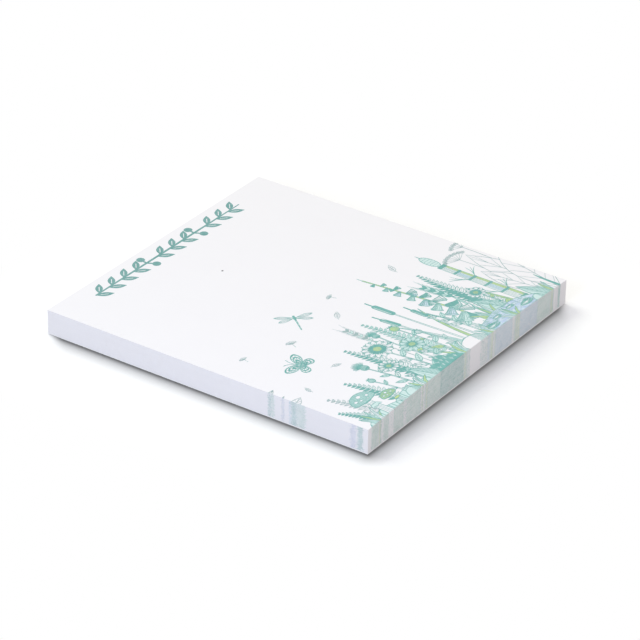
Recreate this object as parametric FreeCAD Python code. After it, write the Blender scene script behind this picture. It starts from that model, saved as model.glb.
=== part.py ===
"""Sticky note pad: a block of fifty paper notes, stuck together by a band of weak glue along one
edge, on a thin backing card.

The frame has +X across a note from left to right, +Y from the free edge up to the glued edge and
+Z up. Its origin is the middle of the face that the pad rests on.

Near the glued edge the notes lie flat. Towards the free edge they lift off each other and arch
across the width, most in the top note and not at all in the lowest one, so that the free edge is
thickest in its middle. The guillotine leaves a fine V between the cut edges of two notes, all the
way round the block.
"""

import FreeCAD, Part
import os

# The note, in millimetres
NOTE_WIDTH = 70.0
NOTE_LENGTH = 75.0
SHEET_PITCH = 0.1
SHEET_COUNT = 50

# The backing card, cut flush with the notes
BACKING_THICKNESS = 0.25

# How the stack lies: the flat band above the glue, and how high the top note's free edge arches
GLUE_BAND_WIDTH = 15.0
FREE_EDGE_RISE = 0.95

# The V that the cut leaves between two notes
SCORE_DEPTH = 0.02
SCORE_WIDTH = 0.03

SEWING_TOLERANCE = 0.0001


def rise_at(level):
    """How far the free edge is arched at a height counted in notes from the card."""
    return FREE_EDGE_RISE * level / SHEET_COUNT


def height_at(level):
    """Height of the flat part of the stack at a height counted in notes from the card."""
    return BACKING_THICKNESS + SHEET_PITCH * level


def free_edge(half_width, y, level):
    """The free edge from right to left, as a parabola in an upright plane."""
    z = height_at(level)
    curve = Part.BezierCurve()
    curve.setPoles([
        FreeCAD.Vector(half_width, y, z),
        FreeCAD.Vector(0.0, y, z + 2.0 * rise_at(level)),
        FreeCAD.Vector(-half_width, y, z),
    ])
    return curve.toShape()


def outline(level, inset):
    """A note's four cut edges at one level, moved in from the full size by inset."""
    half_width = NOTE_WIDTH / 2.0 - inset
    half_length = NOTE_LENGTH / 2.0 - inset
    z = height_at(level)
    front_left = FreeCAD.Vector(-half_width, -half_length, z)
    back_left = FreeCAD.Vector(-half_width, half_length, z)
    back_right = FreeCAD.Vector(half_width, half_length, z)
    front_right = FreeCAD.Vector(half_width, -half_length, z)
    return Part.Wire([
        Part.makeLine(front_left, back_left),
        Part.makeLine(back_left, back_right),
        Part.makeLine(back_right, front_right),
        free_edge(half_width, -half_length, level),
    ])


def cut_sides():
    """The four cut sides of the block: a flat strip for each note and a V between two notes."""
    half_score = SCORE_WIDTH / 2.0 / SHEET_PITCH
    outlines = [outline(0, 0.0)]
    for level in range(1, SHEET_COUNT):
        outlines.append(outline(level - half_score, 0.0))
        outlines.append(outline(level, SCORE_DEPTH))
        outlines.append(outline(level + half_score, 0.0))
    outlines.append(outline(SHEET_COUNT, 0.0))
    return Part.makeLoft(outlines, False, True).Faces


def top_face():
    """The top note: flat over the glue band, then rising with the square of the distance from it.

    One quadratic surface in each direction, with a knot at the edge of the glue band.
    """
    half_width = NOTE_WIDTH / 2.0
    loose_share = 1.0 - GLUE_BAND_WIDTH / NOTE_LENGTH
    pole_shares = (0.0, loose_share / 2.0, (loose_share + 1.0) / 2.0, 1.0)
    z = height_at(SHEET_COUNT)
    crown = 2.0 * rise_at(SHEET_COUNT)
    poles = []
    for x in (-half_width, 0.0, half_width):
        lift = crown if x == 0.0 else 0.0
        row = [
            FreeCAD.Vector(x, NOTE_LENGTH * (share - 0.5), z + (lift if share == 0.0 else 0.0))
            for share in pole_shares
        ]
        poles.append(row)
    surface = Part.BSplineSurface()
    surface.buildFromPolesMultsKnots(
        poles, [3, 3], [3, 1, 3], [0.0, 1.0], [0.0, loose_share, 1.0], False, False, 2, 2
    )
    return surface.toShape()


def note_sheets():
    """All the notes as one closed solid."""
    bottom = Part.Face(outline(0, 0.0))
    shell = Part.Shell(cut_sides() + [top_face(), bottom])
    shell.sewShape(SEWING_TOLERANCE)
    solid = Part.makeSolid(shell)
    if solid.Volume < 0.0:
        solid.reverse()
    return solid


def backing_sheet():
    """The card that the lowest note is stuck to."""
    corner = FreeCAD.Vector(-NOTE_WIDTH / 2.0, -NOTE_LENGTH / 2.0, 0.0)
    return Part.makeBox(NOTE_WIDTH, NOTE_LENGTH, BACKING_THICKNESS, corner)


def main():
    os.makedirs("parts", exist_ok=True)
    for node, shape in (("note_sheets", note_sheets()), ("backing_sheet", backing_sheet())):
        shape.exportStep(os.path.join("parts", node + ".step"))
        print(node, "valid", shape.isValid(), "faces", len(shape.Faces), "mm3", round(shape.Volume, 2))


main()
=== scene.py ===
"""The looks of a pad of sticky notes: white paper, a drawing of meadow plants along the free edge of
the notes, a leafy twig along their glued edge, and the ink that shows on the cut edges.

Lengths on the page are in millimetres: x from the left edge, y from the free edge. In the frame
the middle of the page lies above the origin.
"""
import math
import random

import bpy
import numpy as np
from mathutils import Matrix, Vector


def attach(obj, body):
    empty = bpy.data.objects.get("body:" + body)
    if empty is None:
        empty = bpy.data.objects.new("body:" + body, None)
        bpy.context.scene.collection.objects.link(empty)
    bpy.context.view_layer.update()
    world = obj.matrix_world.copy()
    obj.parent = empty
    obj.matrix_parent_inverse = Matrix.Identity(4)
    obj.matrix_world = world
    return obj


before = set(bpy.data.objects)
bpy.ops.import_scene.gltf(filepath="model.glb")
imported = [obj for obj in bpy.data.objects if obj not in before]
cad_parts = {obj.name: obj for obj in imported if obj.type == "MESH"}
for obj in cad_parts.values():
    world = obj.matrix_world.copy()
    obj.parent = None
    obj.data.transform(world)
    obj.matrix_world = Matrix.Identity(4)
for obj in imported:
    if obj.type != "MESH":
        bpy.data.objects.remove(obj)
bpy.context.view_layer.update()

MM = 0.001
TINY = 1e-9
DRAWING_SEED = 11
CUT_SEED = 5

# The pad, as the solids have it, in millimetres
NOTE_WIDTH = 70.0
NOTE_LENGTH = 75.0
SHEET_PITCH = 0.1
SHEET_COUNT = 50
CARD_THICKNESS = 0.25
GLUE_BAND = 15.0
FREE_EDGE_RISE = 0.95
PAGE = (NOTE_WIDTH, NOTE_LENGTH)

# The ink, in millimetres: how far it stands out from the paper, lines more than fields and each line
# by a step of its own, and how far it reaches in, which is more than the solids' facets lie below
# the true arch
FIELD_LIFT = 0.012
LINE_LIFT = 0.024
LINE_LIFT_STEP = 0.0003
LINE_LIFT_STEPS = 29
LINE_LIFT_STRIDE = 7
INK_ROOT = 0.03
CUT_LIFT = 0.006
CUT_LIFT_STEP = 0.001
CUT_ROOT = 0.015

# Which part of a sheet's thickness the ink takes up on a cut edge, and how far the print wanders
# from sheet to sheet and mark to mark
CUT_BAND = (0.42, 0.84)
CUT_DRIFT = 0.10
CUT_SHAKE = 0.05
LOWER_CUT_SHAKE = 0.15

# How the drawing is divided: the step along a line, the tries that find where a line goes behind
# something, and the longest straight piece that follows the arch well enough
LINE_STEP = 0.3
EDGE_TRIES = 10
LONGEST_PIECE = 4.0

# How a line thins towards its ends, and how far it may be off in place and in width when points are
# left out of it
TAPER_SHARE = 0.35
PATH_SLACK = 0.008
WIDTH_SLACK = 0.03

# The shortest line, span of a field and mark on a cut edge that are kept
SHORTEST_LINE = 0.05
SHORTEST_SPAN = 0.01
SHORTEST_CUT = 0.04

# The strips of a field: their height, finer for dark ink, and how far inside a strip it is measured
ROW = 0.16
FINE_ROW = 0.1
SOLID_ROW = 0.09
FINEST_ROW = 0.08
ROW_SLACK = 0.02
JUST_INSIDE = 0.001

# Hatching: where its first line lies and how far apart the next ones are, as random shares of the
# spacing, how much of the spacing a line may be trimmed by, and its shortest line
HATCH_START = (0.3, 0.7)
HATCH_STEP = (0.85, 1.15)
HATCH_TRIM = (0.0, 0.25)
SHORTEST_HATCH = 0.15

# A line that runs off the page at a flat angle marks the cut edge more widely, up to this width
FLATTEST_SLOPE = 0.12
WIDEST_CUT = 1.2

# Where the lower notes' drawings reach the left edge: from, to and ink
LOWER_NOTE_CUTS = (
    (21.8, 22.4, "teal"), (21.1, 21.8, "pale"), (18.9, 19.3, "violet"), (17.3, 17.6, "blue"),
    (15.9, 17.3, "teal"), (14.0, 15.9, "pale"), (2.7, 3.9, "violet"), (1.2, 2.3, "teal"),
)

# How much of the paper shows where the ink is thin, on the page and on the cut edges
PAPER_TONE = 0.9
PRINT_BARE = 0.12
CUT_BARE = 0.38

# Ink colours on the page and, paler, on the cut edges
INKS = {
    "deep": (0.150, 0.370, 0.350),
    "teal": (0.160, 0.460, 0.418),
    "grey": (0.360, 0.510, 0.500),
    "pale": (0.650, 0.835, 0.805),
    "lime": (0.600, 0.740, 0.300),
    "blue": (0.660, 0.775, 0.875),
    "blueline": (0.300, 0.470, 0.760),
    "speck": (0.060, 0.065, 0.075),
}
CUT_INKS = {
    "teal": (0.235, 0.550, 0.500),
    "grey": (0.480, 0.640, 0.620),
    "pale": (0.580, 0.785, 0.710),
    "lime": (0.620, 0.780, 0.540),
    "blue": (0.570, 0.750, 0.860),
    "violet": (0.690, 0.735, 0.870),
}

# The table, in millimetres: how far it lies under the pad, so that the two don't touch, how far it
# reaches in under the pad's edge and how far out
FLOOR_GAP = 0.12
FLOOR_LEDGE = 0.5
FLOOR_REACH = 3000.0

# Painted shadow: the table's colour darkens towards the foot of the pad, on top of the real shadow that
# the lamps cast. Its tone by the distance from the pad, as a share of the reach. The painted shadow fades
# out at the far left and right corners: the pair of values is the difference between x and y, each as a
# share of half the pad, where the fading starts and ends.
PAINTED_SHADOW_REACH = 5.0
PAINTED_SHADOW_TONES = (
    (0.0, 0.135), (0.058, 0.155), (0.10, 0.265), (0.17, 0.415), (0.25, 0.53), (0.32, 0.62), (0.42, 0.70),
    (0.58, 0.81), (0.72, 0.885), (0.92, 0.965),
)
PAINTED_SHADOW_CORNER_FADE = (1.90, 2.03)

# The open table: its tone without that painted shadow, its tint, and the distances in millimetres over
# which it turns into the white background
OPEN_TONE = 0.985
TABLE_TINT = (0.985, 0.985, 0.975, 1.0)
OPEN_FROM = 4.0
OPEN_TO = 24.0
WHITE = (1.0, 1.0, 1.0, 1.0)

# The table's own glow where the camera sees it, and its grey for all light that isn't seen directly
TABLE_GLOW = 0.075
TABLE_GREY = (0.7, 0.7, 0.7, 1.0)

# The photograph's view: a long lens about 30 degrees above the table, tilted by one degree. The
# place, the sensor and the lens are in millimetres, and what the camera takes in is in metres.
CAMERA_PLACE = (-461.83, -317.44, 319.67)
CAMERA_LOOK = (0.71745, 0.48920, -0.49593)
CAMERA_TILT = 1.0
CAMERA_SENSOR = 36.0
CAMERA_LENS = 184.7
CAMERA_CLIP = (0.01, 20.0)

# The lamps: direction from the pad, then distance, width and height in metres, watts and colour. The
# light from all round has a strength and a tint.
SOFTBOXES = {
    "key": ((0.1, 1.0, 1.0), 2.4, 1.3, 1.1, 21.4, (0.955, 1.0, 0.894)),
    "fill": ((-1.0, -0.12, 0.6), 0.3, 0.12, 0.12, 0.195, (0.55, 0.69, 1.0)),
}
WORLD_LIGHT = 0.72
WORLD_TINT = (1.0, 0.971, 0.979, 1.0)


def subdivided(points, step):
    """The same path with more points on it, at most step apart."""
    points = np.asarray(points, float)
    parts = [points[:1]]
    for first, last in zip(points[:-1], points[1:]):
        count = max(1, math.ceil(math.dist(first, last) / step))
        shares = np.arange(1, count + 1)[:, None] / count
        parts.append(first + (last - first) * shares)
    return np.concatenate(parts)


def bezier(*poles, count=12):
    """A quadratic or cubic curve, by the number of its poles."""
    t = np.linspace(0.0, 1.0, count)[:, None]
    order = len(poles) - 1
    return sum(
        math.comb(order, k) * (1.0 - t) ** (order - k) * t ** k * np.asarray(pole, float)
        for k, pole in enumerate(poles)
    )


def bowed(base, tip, bend, count):
    """A path from base to tip that is pulled aside in its middle."""
    return bezier(base, np.add(base, tip) / 2 + bend, tip, count=count)


def chain(*paths):
    """Paths put end to end, each later one without its first point."""
    return np.concatenate([paths[0]] + [path[1:] for path in paths[1:]])


def polar(angle, reach=1.0):
    """The step of a given reach in a direction in degrees."""
    return reach * np.array([math.cos(math.radians(angle)), math.sin(math.radians(angle))])


def heading(base, tip):
    """How far it is from base to tip, and in which direction, in degrees."""
    axis = np.subtract(tip, base)
    return np.hypot(*axis), math.degrees(math.atan2(axis[1], axis[0]))


def turned(points, angle, to=(0.0, 0.0), scale=1.0):
    """Points turned about the origin, in degrees, then scaled and moved."""
    c, s = math.cos(math.radians(angle)), math.sin(math.radians(angle))
    return np.asarray(points, float) @ np.array([[c, s], [-s, c]]) * scale + np.asarray(to, float)


def placer(angle, spot, size=1.0):
    """A call that turns, scales and moves points in one way."""
    return lambda points: turned(points, angle, spot, size)


def ellipse(centre, rx, ry, angle=0.0, start=0.0, end=360.0, count=24):
    """An ellipse or a part of one, between two angles in degrees."""
    t = np.radians(np.linspace(start, end, count))
    return turned(np.stack([rx * np.cos(t), ry * np.sin(t)], axis=1), angle, centre)


def lens(base, tip, width, belly=0.45, count=10):
    """A leaf's outline between two points, widest at a share of its length from the base."""
    axis = np.subtract(tip, base)
    side = np.array([-axis[1], axis[0]]) / max(np.hypot(*axis), TINY)
    t = np.linspace(0.0, 1.0, count)
    half = 0.5 * width * np.sin(np.pi * t ** (math.log(0.5) / math.log(belly)))
    spine = base + axis * t[:, None]
    return np.concatenate([spine + side * half[:, None], (spine - side * half[:, None])[-2:0:-1]])


def low_form(x0, x1, count, height_at):
    """A form that runs off the free edge, with its height at each share of its width."""
    top = [(x0 + (x1 - x0) * t, height_at(t)) for t in np.linspace(0.0, 1.0, count)]
    return np.array([(x0, -1.0)] + top + [(x1, -1.0)])


def sideways(path):
    """Unit vectors to the left of a path, at each of its points."""
    along = np.gradient(path, axis=0)
    along /= np.maximum(np.hypot(along[:, 0], along[:, 1]), TINY)[:, None]
    return np.stack([-along[:, 1], along[:, 0]], axis=1)


def band(path, widths):
    """The outline of a strip along a path."""
    path = np.asarray(path, float)
    side = sideways(path) * (np.broadcast_to(widths, len(path)) / 2)[:, None]
    return np.concatenate([path + side, (path - side)[::-1]])


def spot_on(path, share):
    """A point on a path and the direction there, in degrees, at a share of its length."""
    steps = np.hypot(*np.diff(path, axis=0).T)
    run = np.concatenate([[0.0], np.cumsum(steps)])
    place = share * run[-1]
    k = min(int(np.searchsorted(run, place, side="right")) - 1, len(steps) - 1)
    k = max(k, 0)
    within = (place - run[k]) / max(steps[k], TINY)
    return path[k] + (path[k + 1] - path[k]) * within, heading(path[k], path[k + 1])[1]


def crossings(polygon, y):
    """Which sides of a polygon cross the levels y, and where in x."""
    x0, y0 = polygon[:, 0], polygon[:, 1]
    x1, y1 = np.roll(x0, -1), np.roll(y0, -1)
    rise = np.where(y1 == y0, 1.0, y1 - y0)
    return (y0 > y) != (y1 > y), x0 + (y - y0) * (x1 - x0) / rise


def inside(points, polygon):
    """Which points lie in a polygon."""
    crossed, at = crossings(polygon, points[:, 1, None])
    return np.count_nonzero(crossed & (points[:, 0, None] < at), axis=1) % 2 == 1


def spans_at(polygon, y):
    """Where a level line runs in a polygon, as pairs of x."""
    crossed, at = crossings(polygon, y)
    xs = np.sort(at[crossed])
    return list(zip(xs[0::2], xs[1::2]))


def without(spans, hidden):
    """Spans less what is hidden."""
    for low, high in hidden:
        left = [(a, min(b, low)) for a, b in spans if a < low]
        right = [(max(a, high), b) for a, b in spans if b > high]
        spans = left + right
    return sorted((a, b) for a, b in spans if b - a > SHORTEST_SPAN)


def clipped(spans, end):
    """Spans cut off at zero and at an end."""
    return [(max(a, 0.0), min(b, end)) for a, b in spans]


class Sketch:
    """A drawing made from the front to the back: a cover hides what is drawn after it.

    strokes holds paths with their widths, fields holds strips of plain colour, and cuts holds where
    ink runs off the page, which is what shows on the cut edges of a pad.
    """

    def __init__(self, seed):
        self.random = random.Random(seed)
        self.strokes = []
        self.fields = []
        self.cuts = []
        self.covers = []

    def between(self, low, high):
        """A random value between two others."""
        return self.random.uniform(low, high)

    def cover(self, polygon):
        """Hides whatever is drawn later inside a polygon."""
        polygon = np.asarray(polygon, float)
        self.covers.append((polygon, *polygon.min(0).tolist(), *polygon.max(0).tolist()))

    def gap(self, path, width):
        """Keeps a line free of ink in whatever is drawn later."""
        self.cover(band(subdivided(path, 1.0), width))

    def covers_near(self, points):
        """The covers whose boxes meet the box of some points."""
        (left, bottom), (right, top) = points.min(0).tolist(), points.max(0).tolist()
        return [c for c in self.covers if c[1] <= right and c[3] >= left and c[2] <= top and c[4] >= bottom]

    def shows(self, points, covers):
        """Which points are on the page and behind none of the covers."""
        seen = ((points >= 0.0) & (points <= PAGE)).all(axis=1)
        for cover in covers:
            seen &= ~inside(points, cover[0])
        return seen

    def last_seen(self, seen, hidden, covers):
        """The last point that shows on the way from a seen point to a hidden one."""
        way = seen + (hidden - seen) * np.linspace(0.0, 1.0, EDGE_TRIES)[:, None]
        return way[int(np.argmin(self.shows(way, covers))) - 1]

    def note_cut(self, point, step, width, ink):
        """Keeps where a line runs off the page: which axis and end of it, from where to where."""
        for axis in (0, 1):
            for limit in (0.0, PAGE[axis]):
                if abs(point[axis] - limit) < LINE_STEP / EDGE_TRIES * 2.0:
                    slope = abs(step[axis]) / max(np.hypot(*step), TINY)
                    half = min(width / max(slope, FLATTEST_SLOPE), WIDEST_CUT) / 2
                    middle = point[1 - axis]
                    self.cuts.append((axis, limit > 0.0, middle - half, middle + half, ink))

    def line(self, path, width=0.14, ends=(1.0, 1.0), ink="teal"):
        """A pen line. ends says how much of its width is left at its start and at its end."""
        path = subdivided(path, LINE_STEP)
        covers = self.covers_near(path)
        seen = self.shows(path, covers)
        t = np.linspace(0.0, 1.0, len(path))
        start = ends[0] + (1.0 - ends[0]) * np.minimum(t / TAPER_SHARE, 1.0)
        end = ends[1] + (1.0 - ends[1]) * np.minimum((1.0 - t) / TAPER_SHARE, 1.0)
        widths = width * np.minimum(start, end)
        turns = np.flatnonzero(np.diff(np.concatenate([[False], seen, [False]]).astype(int)))
        for first, last in zip(turns[0::2], turns[1::2]):
            run, wide = list(path[first:last]), list(widths[first:last])
            if first > 0:
                run.insert(0, self.last_seen(path[first], path[first - 1], covers))
                wide.insert(0, wide[0])
                self.note_cut(run[0], path[first] - path[first - 1], wide[0], ink)
            if last < len(path):
                run.append(self.last_seen(path[last - 1], path[last], covers))
                wide.append(wide[-1])
                self.note_cut(run[-1], path[last] - path[last - 1], wide[-1], ink)
            self.keep(np.array(run), np.array(wide), ink)

    def keep(self, run, widths, ink):
        """Stores what shows of a line, without the points that it can do without."""
        if len(run) < 2 or np.hypot(*np.ptp(run, axis=0)) < SHORTEST_LINE:
            return
        kept = [0]
        for k in range(1, len(run) - 1):
            before, after = run[k] - run[kept[-1]], run[k + 1] - run[kept[-1]]
            reach = max(np.hypot(*after), TINY)
            off = abs(before[0] * after[1] - before[1] * after[0]) / reach
            changed = abs(widths[k] - widths[kept[-1]]) > WIDTH_SLACK
            if off > PATH_SLACK or reach > LONGEST_PIECE or changed:
                kept.append(k)
        kept.append(len(run) - 1)
        self.strokes.append((run[kept], widths[kept], ink))

    def fill(self, polygon, ink="pale", row=ROW):
        """A field of plain colour, as strips between level lines."""
        polygon = np.asarray(polygon, float)
        covers = self.covers_near(polygon)
        low, high = polygon.min(0), polygon.max(0)
        bottom, top = max(low[1], 0.0), min(high[1], PAGE[1])
        if top <= bottom:
            return
        levels = np.linspace(bottom, top, max(1, math.ceil((top - bottom) / row)) + 1)

        def shown(y):
            """What shows of the polygon on a level line."""
            hidden = [s for c in covers if c[2] < y < c[4] for s in spans_at(c[0], y)]
            return without(clipped(spans_at(polygon, y), PAGE[0]), hidden)

        for y0, y1 in zip(levels[:-1], levels[1:]):
            slack = (y1 - y0) * ROW_SLACK
            under, over = shown(y0 + slack), shown(y1 - slack)
            if len(under) != len(over) or any(a[1] < b[0] or b[1] < a[0] for a, b in zip(under, over)):
                under = over = shown((y0 + y1) / 2)
            for (a0, b0), (a1, b1) in zip(under, over):
                pieces = max(1, math.ceil((b0 - a0) / LONGEST_PIECE))
                for k in range(pieces):
                    s0, s1 = k / pieces, (k + 1) / pieces
                    self.fields.append((
                        (a0 + (b0 - a0) * s0, y0), (a0 + (b0 - a0) * s1, y0),
                        (a1 + (b1 - a1) * s1, y1), (a1 + (b1 - a1) * s0, y1), ink,
                    ))
        if low[1] < 0.0:
            self.cuts += [(1, False, a, b, ink) for a, b in shown(JUST_INSIDE)]
        for far, limit in enumerate((0.0, PAGE[0])):
            if low[0] < limit < high[0]:
                spans = clipped(spans_at(polygon[:, ::-1], limit), PAGE[1])
                hidden = [s for c in covers for s in spans_at(c[0][:, ::-1], limit)]
                self.cuts += [(0, far == 1, a, b, ink) for a, b in without(spans, hidden)]

    def hatch(self, polygon, angle, spacing, width=0.08, ink="teal"):
        """Level pen lines across a polygon, turned by an angle, with slightly uneven ends."""
        flat = turned(polygon, -angle)
        y = flat[:, 1].min() + spacing * self.between(*HATCH_START)
        while y < flat[:, 1].max():
            for a, b in spans_at(flat, y):
                trim = self.between(*HATCH_TRIM) * spacing
                if b - a > SHORTEST_HATCH + 2 * trim:
                    self.line(turned([(a + trim, y), (b - trim, y)], angle), width, ink=ink)
            y += spacing * self.between(*HATCH_STEP)

    def outline(self, polygon, width=0.14, ink="teal"):
        """A pen line all the way round a polygon."""
        self.line(np.concatenate([polygon, polygon[:1]]), width, ink=ink)

    def shape(self, polygon, width=0.14, fill=None, ink="teal", row=ROW):
        """An outlined form that hides what is drawn after it."""
        if fill:
            self.fill(polygon, fill, row)
        self.outline(polygon, width, ink)
        self.cover(polygon)

    def solid(self, polygon, ink="teal", row=SOLID_ROW):
        """A form of one plain colour."""
        self.fill(polygon, ink, row)
        self.cover(polygon)


def stem(pen, path, width, fill=None):
    """A stalk with two edges."""
    pen.shape(band(path, np.linspace(width, width * 0.55, len(path))), 0.1, fill)


def veined_leaf(pen, base, tip, width, fill=None, veins=7, fine=0.08, edge=0.15, shaded=True, ink="teal",
                belly=0.42):
    """A broad leaf with a midrib and curved side veins, and fine shading on one half where wanted."""
    length, angle = heading(base, tip)
    place = placer(angle, base)
    outline = lens((0, 0), (length, 0), width, belly, 14)
    power = math.log(0.5) / math.log(belly)
    pen.line(place([(0, 0), (length * 0.97, 0)]), fine * 1.5, (1.0, 0.3), ink)
    for k in range(veins):
        start = 0.08 + 0.8 * k / veins
        end = min(start + 0.2, 0.97)
        half = 0.46 * width * math.sin(math.pi * end ** power)
        for side in (-1, 1):
            bend = ((start + 0.1) * length, half * 0.45 * side)
            vein = bezier((start * length, 0), bend, (end * length, half * side), count=6)
            pen.line(place(vein), fine, (1.0, 0.4), ink)
    if shaded:
        half_outline = np.concatenate([[(0, 0), (length, 0)], outline[len(outline) // 2 + 1:]])
        pen.hatch(place(half_outline), angle + 24, 0.3, fine * 0.8, ink)
    pen.shape(place(outline), edge, fill, ink)


def grass(pen, x, height, lean, width=0.9, fill=None, base=-1.0):
    """A blade of grass, with a fine midrib."""
    spine = bezier((x, base), (x + lean * 0.2, base + height * 0.6), (x + lean, base + height), count=14)
    t = np.linspace(0.0, 1.0, len(spine))
    pen.line(spine[:-3], 0.08, (1.0, 0.3))
    pen.shape(band(spine, width * (1.0 - t) ** 0.6 + 0.02), 0.12, fill)


def tuft(pen, x, height, blades, spread, fills, base=-1.0):
    """A bunch of grass."""
    for k in range(blades):
        side = (k + 0.5) / blades * 2.0 - 1.0
        foot = x + side * spread * 0.35 + pen.between(-0.3, 0.3)
        tall = height * pen.between(0.7, 1.05) * (1.0 - 0.25 * abs(side))
        lean = side * spread + pen.between(-0.8, 0.8)
        grass(pen, foot, tall, lean, 0.9 * pen.between(0.7, 1.1), fills[k % len(fills)], base)


def fern(pen, base, middle, tip, reach, pairs, solid=True, fill=None, ink="teal"):
    """A frond: a curved rib with pairs of small leaves that shorten towards both ends."""
    rib = bezier(base, middle, tip, count=30)
    pen.line(rib, 0.2, (1.0, 0.4), ink)
    for k in range(pairs):
        t = 0.1 + 0.9 * (k + 0.5) / pairs
        spot, angle = spot_on(rib, t)
        size = reach * (1.0 - t) ** 0.75 * min(1.0, 0.45 + 2.2 * t) + 0.35
        for side in (1, -1):
            end = spot + polar(angle + side * (66 - 22 * t) + pen.between(-3, 3), size)
            leaflet = lens(spot, end, 0.22 * size + 0.25, 0.4, 7)
            if solid and side > 0:
                pen.fill(leaflet, ink, FINE_ROW)
            elif fill:
                pen.fill(leaflet, fill)
            pen.line([spot, spot + (end - spot) * 0.8], 0.07, ink=ink)
            pen.shape(leaflet, 0.09, ink=ink)


def bell(pen, spot, angle, size, tone):
    """A hanging bell flower: a flared tube with a lobed mouth.

    A large one is hatched, over a field of its tone or, where that is teal, a field on one half. A small
    one is plain, and bare only where its tone is pale.
    """
    top = bezier((0, 0.10), (0.45, 0.34), (0.72, 0.26), (1.0, 0.5), count=8)
    lip = bezier((1.0, 0.5), (1.16, 0.2), (1.05, 0.0), count=4)
    under = bezier((1.05, 0.0), (1.12, -0.2), (0.94, -0.46), count=4)
    below = bezier((0.94, -0.46), (0.7, -0.24), (0.4, -0.3), (0, -0.10), count=8)
    place = placer(angle, spot, size)
    outline = place(chain(top, lip, under, below))
    if size > 1.3:
        for k in range(-2, 3):
            pen.line(place(bezier((0.05, k * 0.03), (0.5, k * 0.12), (0.9, k * 0.17), count=5)), 0.08)
        pen.line(place(ellipse((0.98, 0.02), 0.1, 0.44, 8, count=14)), 0.08)
        if tone == "teal":
            pen.fill(place(np.concatenate([top, [(0.98, 0.02)], below[4:]])), tone, FINE_ROW)
        elif tone:
            pen.fill(outline, tone)
        shade = np.concatenate([below[::-1], under[::-1], [(0.5, 0.0)]])
        pen.hatch(place(shade), angle + 70, 0.24)
    elif tone != "pale":
        pen.fill(outline, "teal", FINE_ROW)
    pen.shape(outline, 0.12)


def bell_spire(pen, base, tip, bells, size):
    """A tall flower stalk, hung with bells on both sides that shrink towards its tip."""
    tones = (None, "pale", "teal", "blue")
    spine = bowed(base, tip, (0.8, 0.0), 30)
    for k in range(bells):
        t = 0.30 + 0.66 * k / bells
        spot = spot_on(spine, t)[0]
        grown = size * (1.0 - 0.82 * (t - 0.30) / 0.7)
        side = 1 if k % 2 else -1
        droop = -38 + 50 * (t - 0.3)
        lean = (droop if side > 0 else 180 - droop) + pen.between(-6, 6)
        bell(pen, spot, lean, grown * pen.between(0.92, 1.06), tones[(k * 3 + 1) % 4])
        if k % 3 == 0:
            bell(pen, spot + (0.1 * side, -0.5), -90 + side * 18, grown * 0.8, tones[(k + 2) % 4])
    pen.line([spine[-1], spine[-1] + (0.0, 1.3)], 0.16, (1.0, 0.2))
    stem(pen, spine, 0.55, "lime")


def cattail(pen, x, height, lean, length=5.2, girth=1.25):
    """A reed mace: a thin stalk, a thick solid spike and a needle above it."""
    spine = bezier((x, -1.0), (x + lean * 0.3, height * 0.5), (x + lean, height), count=40)
    share = 1.0 - (length + 1.8) / height
    low = spot_on(spine, share)[0]
    high, angle = spot_on(spine, share + length / height)
    pen.line([high, spine[-1]], 0.16, (1.0, 0.3))
    place = placer(angle, (low + high) / 2)
    half = np.hypot(*(high - low)) / 2
    spike = np.concatenate([
        ellipse((half - girth / 2, 0), girth / 2, girth / 2, 0, -90, 90, 8),
        ellipse((girth / 2 - half, 0), girth / 2, girth / 2, 0, 90, 270, 8),
    ])
    pen.cover(place(np.array([(-0.8, 0.2), (0.8, 0.2), (0.8, 0.3), (-0.8, 0.3)]) * (half, girth)))
    pen.shape(place(spike), 0.12, "teal", row=FINEST_ROW)
    stem(pen, spine, 0.42)


def daisy(pen, centre, radius, petals, flat=1.0, fill=None, solid=False):
    """A flower seen from the front: a disc of dots and two rings of petals."""
    squash = (1.0, flat)
    core = radius * 0.27
    dots = 26 * (radius / 3.0)
    for k in range(int(dots)):
        spot = centre + polar(137.5 * k, core * 0.9 * math.sqrt((k + 0.5) / dots)) * squash
        pen.solid(ellipse(spot, 0.09, 0.09, count=6))
    pen.shape(ellipse((0, 0), core, core) * squash + centre, 0.14, "lime")

    def laid(points, angle):
        """Points of a petal that lies along x, turned and seen at the flower's slant."""
        return turned(points, angle) * squash + centre

    for ring in (0, 1):
        for k in range(petals):
            angle = 360.0 / petals * (k + 0.5 * ring) + pen.between(-2, 2)
            length = radius * (1.0 - 0.06 * ring) * pen.between(0.94, 1.03)
            wide = 2.0 * math.pi * radius / petals * (0.9 if ring else 0.80)
            petal = laid(lens((core * 0.8, 0), (length, 0), wide * 0.85, 0.62, 9), angle)
            for off in (-0.12, 0.12):
                crease = [(core, 0), (length * 0.78, off * wide * 1.6)]
                pen.line(laid(crease, angle), 0.07, (1.0, 0.2))
            if ring:
                pen.hatch(petal, angle, 0.2)
            elif solid:
                heart = lens((core * 0.9, 0), (length * 0.62, 0), wide * 0.5, 0.55, 7)
                pen.fill(laid(heart, angle), "teal", FINE_ROW)
            pen.shape(petal, 0.11, fill)


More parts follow.
